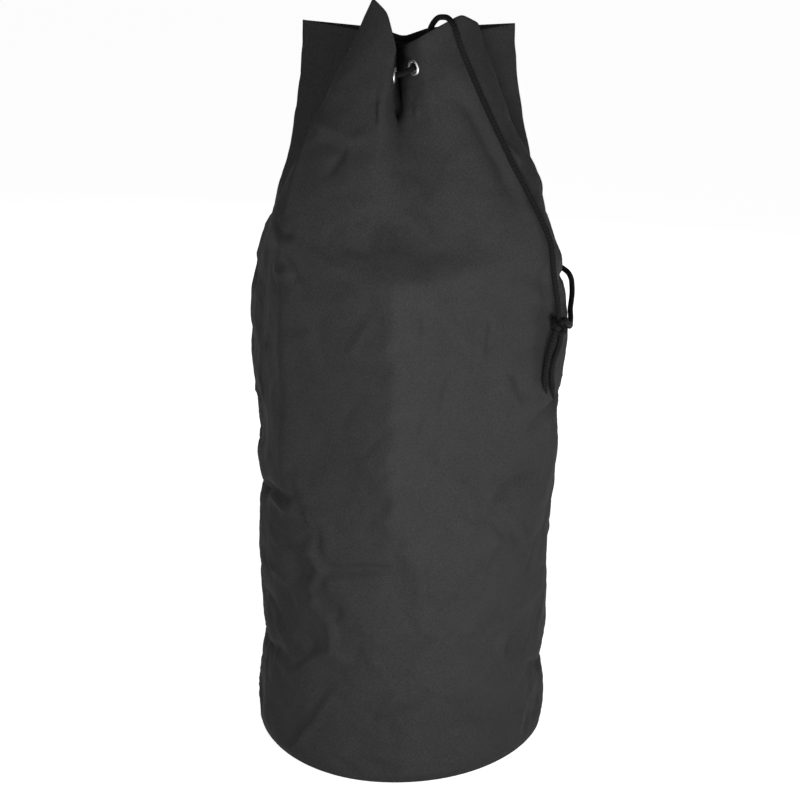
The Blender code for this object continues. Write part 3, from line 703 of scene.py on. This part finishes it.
def stitched(name, places, body):
    """A row of lockstitches along points of the cloth, each with its outward direction."""
    points = np.array([point for point, out in places])
    outs = np.array([out for point, out in places])
    along = way_along(points)
    shape = bmesh.new()
    for middle in np.arange(0.5 * STITCH, along[-1] - STITCH, STITCH + STITCH_GAP):
        aims = (middle - STITCH_AIM, middle + STITCH_AIM)
        ends = [np.array([np.interp(aim, along, axis) for axis in points.T]) for aim in aims]
        out = Vector([np.interp(middle, along, axis) for axis in outs.T]).normalized()
        ahead = Vector(ends[1] - ends[0]).normalized()
        turn = Matrix((ahead, out.cross(ahead), out)).transposed().to_4x4()
        size = Matrix.Diagonal((0.5 * STITCH, THREAD, THREAD, 1.0))
        place = Matrix.Translation(Vector(0.5 * (ends[0] + ends[1])) + 0.2 * THREAD * out) @ turn @ size
        bmesh.ops.create_uvsphere(shape, u_segments=6, v_segments=5, radius=1.0, matrix=place)
    for face in shape.faces:
        face.smooth = True
    piece = placed(name, shape, thread)
    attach(piece, body)
    return piece


hem_row = int(np.argmin(np.abs(levels - hem_levels[0])))
hem_stitching = stitched("hem_stitching", list(zip(wall[hem_row], outward[hem_row])), "bag")


# Base. A round panel of the same nylon, its edge eased up into the seam, a folded tape bound over
# the raw edges of that seam inside, and a flat tape over the wall's own seam. The bag stands on the
# panel's underside.
BASE_THICKNESS, BASE_INSET, BASE_EDGE_RISE = 0.0014, 0.0012, 0.0012
BINDING_HEIGHT, BINDING_THICKNESS, BINDING_INSET = 0.0105, 0.0020, 0.0024
SEAM_AZIMUTH, SEAM_WIDTH, SEAM_FOOT, SEAM_BELOW_HEM, SEAM_GAP = 128.0, 0.016, 0.030, 0.012, 0.0018


def inset_outline(inset, height):
    """The wall's lower edge drawn in towards the bag's axis and set at a height."""
    edge = wall[0]
    middle = 0.5 * (edge.min(axis=0) + edge.max(axis=0))[:2]
    flat = edge[:, :2] - middle
    flat = flat * (1.0 - inset / np.linalg.norm(flat, axis=1))[:, None] + middle
    return np.column_stack((flat, np.full(len(flat), height)))


rim_of_base = inset_outline(BASE_INSET, 0.0)
middle_of_base = rim_of_base[:-1].mean(axis=0)
panel = np.stack([middle_of_base + share * (rim_of_base - middle_of_base)
                  for share in (1.0, 0.993, 0.97, 0.9, 0.8, 0.65, 0.5, 0.3, 0.12, 0.0)])
panel[0, :, 2] = BASE_EDGE_RISE
base_panel = placed("base_panel_cloth", laid_grid(panel[::-1], panel[::-1, :, :2], True), nylon)
thickened(base_panel, BASE_THICKNESS)
fixed(base_panel, "bag", "cloth", "base_panel")

folded = []
for step in range(13):
    turn = 2.0 * math.pi * step / 12
    side = 0.5 * BINDING_THICKNESS * (1.0 - math.cos(turn))
    rise = 0.5 * BINDING_HEIGHT * (1.0 + math.copysign(abs(math.sin(turn)) ** 0.4, math.sin(turn)))
    folded.append(inset_outline(BINDING_INSET + side, BASE_THICKNESS + LAYER_GAP + rise))
folded = np.stack(folded)
tape_measure = np.stack((np.broadcast_to(spread, folded.shape[:2]), folded[..., 2]), axis=-1)
base_binding = placed("base_binding_tape", laid_grid(folded, tape_measure, True), nylon)
fixed(base_binding, "bag", "cloth", "base_binding")

seam_top = 2.0 - (HEM_DEPTH + SEAM_BELOW_HEM) / COLLAR_LENGTH
seam_column = column_at(SEAM_AZIMUTH)
beside_seam = slice(seam_column - 4, seam_column + 5)
strip = []
for row in np.flatnonzero((levels > SEAM_FOOT / SHOULDER_SIDE) & (levels < seam_top)):
    back = wall[row, beside_seam] - (CLOTH + SEAM_GAP) * outward[row, beside_seam]
    along = way_along(back)
    places = along[4] + SEAM_WIDTH * np.linspace(-0.5, 0.5, 5)
    strip.append(np.column_stack([np.interp(places, along, axis) for axis in back.T]))
strip = np.array(strip)
strip_measure = np.stack(np.meshgrid(SEAM_WIDTH * np.linspace(0.0, 1.0, 5), strip[:, 2, 2]), axis=-1)
seam_binding = placed("seam_binding_tape", laid_grid(strip, strip_measure, False), nylon)
thickened(seam_binding, CLOTH)
fixed(seam_binding, "bag", "cloth", "seam_binding")

seam_route = [on_cloth(SEAM_AZIMUTH, height) for height in np.arange(0.020, 0.870, 0.010)]
seam_stitching = stitched("seam_stitching", seam_route, "bag")


# Eyelets. Two-part nickel-plated brass: a domed flange with a barrel that goes through wall and hem,
# and a flat washer inside that the end of the barrel is rolled over.
BORE, FLANGE, FLANGE_RISE, FLANGE_LIFT, FLANGE_LIP = 0.0054, 0.0093, 0.0019, 0.0003, 0.0004
BARREL_WALL, BARREL_END, ROLL_WIDTH, ROLL_DEPTH = 0.0006, 0.0012, 0.0010, 0.0007
WASHER, WASHER_HOLE, WASHER_THICKNESS, WASHER_ROUNDING = 0.0083, 0.0062, 0.0007, 0.0002


def nickel_finish():
    """Bright plate, a little dulled, with fine rub marks."""
    finish = Finish("bright_nickel")
    haze = finish.spots(0.004, 4.0)
    return finish.surface(
        Base_Color=finish.tones((0.74, 0.73, 0.71), (0.90, 0.89, 0.87), haze),
        Metallic=1.0,
        Roughness=0.34 + haze * 0.16,
        Normal=finish.bumped(finish.spots(0.0008, 2.0), 0.00004, 0.4),
    )


nickel = nickel_finish()


def spun(profile, seat, out):
    """A closed profile of (radius, height) spun round an eyelet's own axis."""
    shape = bmesh.new()
    verts = [shape.verts.new((radius, 0.0, height)) for radius, height in profile]
    edges = [shape.edges.new(pair) for pair in zip(verts, verts[1:] + verts[:1])]
    bmesh.ops.spin(
        shape, geom=verts + edges, cent=(0.0, 0.0, 0.0), axis=(0.0, 0.0, 1.0),
        angle=2.0 * math.pi, steps=48, use_merge=True,
    )
    bmesh.ops.recalc_face_normals(shape, faces=shape.faces[:])
    side = Vector((0.0, 0.0, 1.0)).cross(out).normalized()
    turn = Matrix((side, out.cross(side), out)).transposed().to_4x4()
    bmesh.ops.transform(shape, matrix=Matrix.Translation(seat) @ turn, verts=shape.verts[:])
    for face in shape.faces:
        face.smooth = True
    return shape


for number, (seat, out) in enumerate(seats, start=1):
    under = -(2.0 * TURN_IN + LAYER_GAP + CLOTH + 0.0002)
    end, face = under - BARREL_END, under - WASHER_THICKNESS
    dome = [math.radians(angle) for angle in range(0, 181, 20)]
    middle, half = 0.5 * (BORE + FLANGE), 0.5 * (FLANGE - BORE)
    profile = [(middle + half * math.cos(a), FLANGE_LIFT + FLANGE_RISE * math.sin(a)) for a in dome]
    profile += [(BORE, end)]
    profile += [(BORE + ROLL_WIDTH * (1.0 - math.cos(a)), end - ROLL_DEPTH * math.sin(a)) for a in dome[1:]]
    profile += [(BORE + BARREL_WALL, face - 0.0001), (BORE + BARREL_WALL, 0.0001)]
    profile += [(FLANGE - FLANGE_LIP, 0.0001)]
    washer = [
        (WASHER_HOLE, under), (WASHER - WASHER_ROUNDING, under), (WASHER, under - WASHER_ROUNDING),
        (WASHER, face + 0.0001), (WASHER - WASHER_ROUNDING, face), (WASHER_HOLE, face),
    ]
    for name, outline, node in (
        (f"eyelet_{number}_ring", profile, f"eyelet_{number}"),
        (f"eyelet_{number}_washer", washer, f"eyelet_washer_{number}"),
    ):
        fixed(placed(name, spun(outline, seat, out), nickel), "bag", "eyelet_metal", node)


# Drawcord. One length of 6.4 mm black braid. It runs out and in through the eight eyelets, and its
# ends come up out of the right lobe. One goes over the front of the lobe, the other down the pleat
# behind it, and they meet at the knot on the right shoulder.
CORD = 0.0064
FRONT_STRAND = (
    (33.0, 1.935, -0.0200), (35.6, 1.994, -0.0175), (38.6, 2.026, -0.0115), (41.6, 2.033, -0.0010),
    (44.3, 2.010, 0.0095), (46.0, 1.964, 0.0135), (47.4, 1.900, 0.0110), (49.2, 1.815, 0.0060),
    (53.0, 1.640, 0.0037), (55.5, 1.500, 0.0037), (57.5, 1.360, 0.0037), (59.5, 1.230, 0.0040),
    (61.0, 1.110, 0.0046), (62.0, 1.020, 0.0058),
)
SIDE_STRAND = (
    (87.2, 1.930, -0.0200), (88.0, 1.992, -0.0175), (88.7, 2.023, -0.0115), (89.3, 2.028, 0.0000),
    (89.8, 2.004, 0.0105), (90.2, 1.962, 0.0140), (90.6, 1.890, 0.0115), (91.0, 1.800, 0.0080),
    (93.0, 1.640, 0.0060), (99.0, 1.500, 0.0050), (107.0, 1.360, 0.0046), (113.0, 1.230, 0.0046),
    (116.0, 1.120, 0.0050), (116.0, 1.040, 0.0058),
)
FRONT_DROP = ((62.9, 0.955, 0.0090), (63.8, 0.902, 0.0115))
SIDE_DROP = (
    (115.0, 1.000, 0.0066), (109.0, 0.982, 0.0068), (100.0, 0.970, 0.0068), (90.0, 0.945, 0.0068),
    (81.0, 0.905, 0.0074), (73.0, 0.880, 0.0098),
)
KNOT = (64.4, 0.860, 0.0125)
CORD_REACH, CORD_STAND, BRIDGE_STAND = 0.0150, 0.0130, 0.0046
CORD_STEP, CORD_GAP, WALL_NEAR, WALL_SUNK, BEND_STEPS = 0.0025, 0.0006, 0.014, 0.006, 4


def braid_finish():
    """Braided sheath: two crossing sets of strands, dull, its colour lighter on the strands' crowns and
    darker in the grooves between them.
    """
    finish = Finish("black_braid")
    around, along = finish.measures()
    right = (around * (16.0 * math.pi) + along * (2.0 * math.pi / 0.0085)).sine()
    left = (around * (16.0 * math.pi) - along * (2.0 * math.pi / 0.0085)).sine()
    strands = right * left * 0.5 + 0.5
    return finish.surface(
        # colour follows the strands' height: lighter on their crowns, darker in the grooves between them
        Base_Color=finish.tones((0.0040, 0.0040, 0.0042), (0.0105, 0.0104, 0.0102), strands),
        Roughness=0.86 - strands * 0.12,
        Specular_IOR_Level=0.2,
        Normal=finish.bumped(strands + finish.spots(0.0005, 2.0) * 0.25, 0.0006, 0.9),
    )


braid = braid_finish()


def rim_place(azimuth):
    """The sample of the rim nearest to an azimuth."""
    return int(np.argmin(np.abs(rim_azimuth - azimuth)))


def on_wall(azimuth, level, lift):
    """A point that stands off the wall's outer face, or over the rim where the level passes 2."""
    index = rim_place(azimuth)
    return ring(level)[index] + lift * facing(level)[index]


def smooth_route(points, spacing):
    """Points at an even spacing along a smooth curve through a route."""
    route = np.array([tuple(point) for point in points])
    ends = np.vstack((2.0 * route[0] - route[1], route, 2.0 * route[-1] - route[-2]))
    pieces = []
    for a, b, c, d in zip(ends[:-3], ends[1:-2], ends[2:-1], ends[3:]):
        knots = np.cumsum([0.0] + [np.linalg.norm(q - p) ** 0.5 for p, q in ((a, b), (b, c), (c, d))])
        t = np.linspace(knots[1], knots[2], 24, endpoint=False)[:, None]
        ab = ((knots[1] - t) * a + (t - knots[0]) * b) / (knots[1] - knots[0])
        bc = ((knots[2] - t) * b + (t - knots[1]) * c) / (knots[2] - knots[1])
        cd = ((knots[3] - t) * c + (t - knots[2]) * d) / (knots[3] - knots[2])
        abc = ((knots[2] - t) * ab + (t - knots[0]) * bc) / (knots[2] - knots[0])
        bcd = ((knots[3] - t) * bc + (t - knots[1]) * cd) / (knots[3] - knots[1])
        pieces.append(((knots[2] - t) * abc + (t - knots[1]) * bcd) / (knots[2] - knots[1]))
    line = np.vstack(pieces + [route[-1:]])
    along = way_along(line)
    count = max(2, int(round(along[-1] / spacing)))
    even = np.linspace(0.0, along[-1], count + 1)
    return np.column_stack([np.interp(even, along, axis) for axis in line.T])


def corded(name, centres, radii, sides=20, looped=False):
    """A tube of cord round a row of middles, its ends closed or joined."""
    ahead = np.gradient(centres, axis=0)
    if looped:
        ahead[0] = ahead[-1] = centres[1] - centres[-2]
    ahead = ahead / np.linalg.norm(ahead, axis=1)[:, None]
    side = np.cross(ahead[0], (0.31, 0.23, 0.92))
    turns = np.arange(sides + 1) * 2.0 * math.pi / sides
    rows = []
    for middle, forward, radius in zip(centres, ahead, radii):
        side = side - forward * (side @ forward)
        side = side / np.linalg.norm(side)
        up = np.cross(forward, side)
        rows.append(middle + radius * (np.cos(turns)[:, None] * side + np.sin(turns)[:, None] * up))
    measure = np.stack(np.meshgrid(turns / (2.0 * math.pi), way_along(centres)), axis=-1)
    shape = laid_grid(np.stack(rows), measure, True)
    bmesh.ops.holes_fill(shape, edges=[edge for edge in shape.edges if edge.is_boundary], sides=0)
    bmesh.ops.recalc_face_normals(shape, faces=shape.faces[:])
    return placed(name, shape, braid)


finished = nearest_of(wall.reshape(-1, 3))


def laid_on_wall(line):
    """The same line lifted wherever the wrinkled wall stands in its way."""
    clear = 0.5 * CORD + CORD_GAP
    lift = np.zeros_like(line)
    for index, spot in enumerate(line):
        place, number, away = finished.find(spot)
        out = outward.reshape(-1, 3)[number]
        gap = (spot - np.array(place)) @ out
        if away < WALL_NEAR and -WALL_SUNK < gap < clear:
            lift[index] = out * (clear - gap)
    for _ in range(4):
        lift[1:-1] = 0.25 * lift[:-2] + 0.5 * lift[1:-1] + 0.25 * lift[2:]
    return line + lift


threaded = []
for place, number in enumerate((0, 7, 6, 5, 4, 3, 2, 1)):
    seat, out = seats[number]
    step = [seat - out * CORD_REACH, seat, seat + out * CORD_STAND]
    threaded.extend(step if place % 2 == 0 else reversed(step))
(first, first_out), (last, last_out) = seats[0], seats[7]
threaded[2:4] = [0.5 * (first + last) + BRIDGE_STAND * (first_out + last_out).normalized()]
run_line = smooth_route(threaded, CORD_STEP)
drawcord_run = corded("drawcord_run_braid", run_line, np.full(len(run_line), 0.5 * CORD))
fixed(drawcord_run, "bag", "cord", "drawcord_run")

knot_middle = on_wall(*KNOT)
hanging = []
for side_name, start, strand, drop in (
    ("front", threaded[0], FRONT_STRAND, FRONT_DROP), ("side", threaded[-1], SIDE_STRAND, SIDE_DROP),
):
    on_bag = [on_wall(*row) for row in strand]
    line = smooth_route([start] + on_bag + [on_wall(*row) for row in drop] + [knot_middle], CORD_STEP)
    line = laid_on_wall(line)
    cord = corded(f"drawcord_{side_name}_braid", line, np.full(len(line), 0.5 * CORD))
    leave = int(np.argmin(np.linalg.norm(line - on_bag[-1], axis=1)))
    bend = tuple(line[leave - BEND_STEPS]), tuple(line[leave + BEND_STEPS])
    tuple(bend[0])
    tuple(bend[1])
    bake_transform(cord)
    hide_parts(f"drawcord_{side_name}_strand", f"drawcord_{side_name}_drop")
    hanging.append((cord, line))


# Knot and tails. Both ends are tied together in one overhand knot, drawn tight, and hang on as two
# short tails whose cut ends are melted to a point.
KNOT_SIZE, KNOT_DEPTH, KNOT_CORD = 0.0029, 2.1, 0.49
TAIL_CORD, TAIL_SPREAD, TAIL_DROP, MELTED_LENGTH, MELTED_SHARE = 0.53, 0.0034, 0.0040, 0.016, 0.25
TAILS = (
    ((64.8, 0.824, 0.0105), (63.6, 0.784, 0.0078), (63.2, 0.752, 0.0074), (64.0, 0.725, 0.0090)),
    ((62.4, 0.824, 0.0112), (61.0, 0.784, 0.0086), (60.6, 0.754, 0.0082), (61.4, 0.733, 0.0095)),
)
turns = np.linspace(0.0, 2.0 * math.pi, 97)
out = facing(KNOT[1])[rim_place(KNOT[0])]
beside = np.cross((0.0, 0.0, 1.0), out)
beside = beside / np.linalg.norm(beside)
upright = np.cross(out, beside)
overhand = (
    (np.sin(turns) + 2.0 * np.sin(2.0 * turns))[:, None] * beside
    + (np.cos(turns) - 2.0 * np.cos(2.0 * turns))[:, None] * upright
    - (KNOT_DEPTH * np.sin(3.0 * turns))[:, None] * out
)
knot_line = knot_middle + KNOT_SIZE * overhand
knot = corded("drawcord_knot_braid", knot_line, np.full(len(turns), KNOT_CORD * CORD), looped=True)
fixed(knot, "cord_end", "cord", "drawcord_knot")
for (cord, line), side_name in zip(hanging, ("front", "side")):
    tuple(line[0])
    float(way_along(line)[-1])
    [tuple(p) for p in line]
    [knot] if side_name == "front" else []
for number, (tail, side) in enumerate(zip(TAILS, (1.0, -1.0)), start=1):
    start = knot_middle + side * TAIL_SPREAD * beside - np.array((0.0, 0.0, TAIL_DROP))
    line = laid_on_wall(smooth_route([start] + [on_wall(*row) for row in tail], CORD_STEP))
    along = way_along(line)
    taper = np.clip(MELTED_SHARE + (along[-1] - along) / MELTED_LENGTH, MELTED_SHARE, 1.0)
    piece = corded(f"drawcord_tail_{number}_braid", line, TAIL_CORD * CORD * taper)
    fixed(piece, "cord_end", "cord", f"drawcord_tail_{number}")
    tuple(line[0])
    [tuple(p) for p in line]


# Studio. A wide white floor with two lamps of its own, a key lamp near the bag's front, others at the
# right, over the left and behind, and the camera at the photograph's own height and tilt.
EYE, EYE_TILT, SENSOR, FOCAL_PIXELS, PHOTO_PIXELS = (-0.0101, -3.2, 1.8), 23.46, 36.0, 2988.0, 800.0
scene = bpy.context.scene
scene.view_settings.view_transform = "Standard"
world = bpy.data.worlds.new("studio")
world.use_nodes = True
world.node_tree.nodes["Background"].inputs["Color"].default_value = (1.0, 1.0, 1.0, 1.0)
world.node_tree.nodes["Background"].inputs["Strength"].default_value = 0.14
scene.world = world

floor_finish = Finish("white_floor")
rays = floor_finish.node("ShaderNodeLightPath", output="Is Camera Ray")
glossy = Value(floor_finish, rays.socket.node.outputs["Is Glossy Ray"])
through = Value(floor_finish, rays.socket.node.outputs["Is Transmission Ray"])
floor_finish.surface(
    Base_Color=(0.85, 0.85, 0.85, 1.0),
    Roughness=0.9,
    Specular_IOR_Level=0.0,
    Emission_Color=floor_finish.tones((0.0, 0.0, 0.0), (0.85, 0.85, 0.85), rays + glossy + through),
    Emission_Strength=1.0,
)
shape = bmesh.new()
bmesh.ops.create_grid(shape, x_segments=1, y_segments=1, size=40.0)
bmesh.ops.translate(shape, verts=shape.verts[:], vec=(0.0, 0.0, -0.0005))
floor = placed("studio_floor", shape, floor_finish.paint)


def lamp(name, place, target, size, power):
    """A square lamp that faces a point and isn't seen itself."""
    data = bpy.data.lights.new(name, "AREA")
    data.size = size
    data.energy = power
    item = bpy.data.objects.new(name, data)
    item.location = place
    item.rotation_euler = (Vector(target) - Vector(place)).to_track_quat("-Z", "Y").to_euler()
    item.visible_camera = False
    bpy.context.collection.objects.link(item)


lamp("key_lamp", (0.25, -0.84, 0.52), (0.05, 0.0, 0.52), 0.25, 3.4)
lamp("right_lamp", (1.6, -0.4, 0.40), (0.0, 0.0, 0.45), 0.5, 3.2)
lamp("top_lamp", (-0.55, -0.90, 1.15), (0.0, 0.0, 0.85), 0.5, 2.6)
lamp("back_lamp", (0.3, 1.6, 0.80), (0.0, 0.0, 0.50), 0.8, 5.0)
for side in (-1.0, 1.0):
    lamp("floor_lamp", (0.95 * side, -1.25, 0.5), (0.95 * side, -1.2499, 0.0), 1.2, 5.0)

camera = bpy.data.cameras.new("camera")
camera.sensor_width = SENSOR
camera.lens = SENSOR * FOCAL_PIXELS / PHOTO_PIXELS
eye = bpy.data.objects.new("camera", camera)
eye.location = EYE
eye.rotation_euler = (math.radians(90.0 - EYE_TILT), 0.0, 0.0)
bpy.context.collection.objects.link(eye)
scene.camera = eye
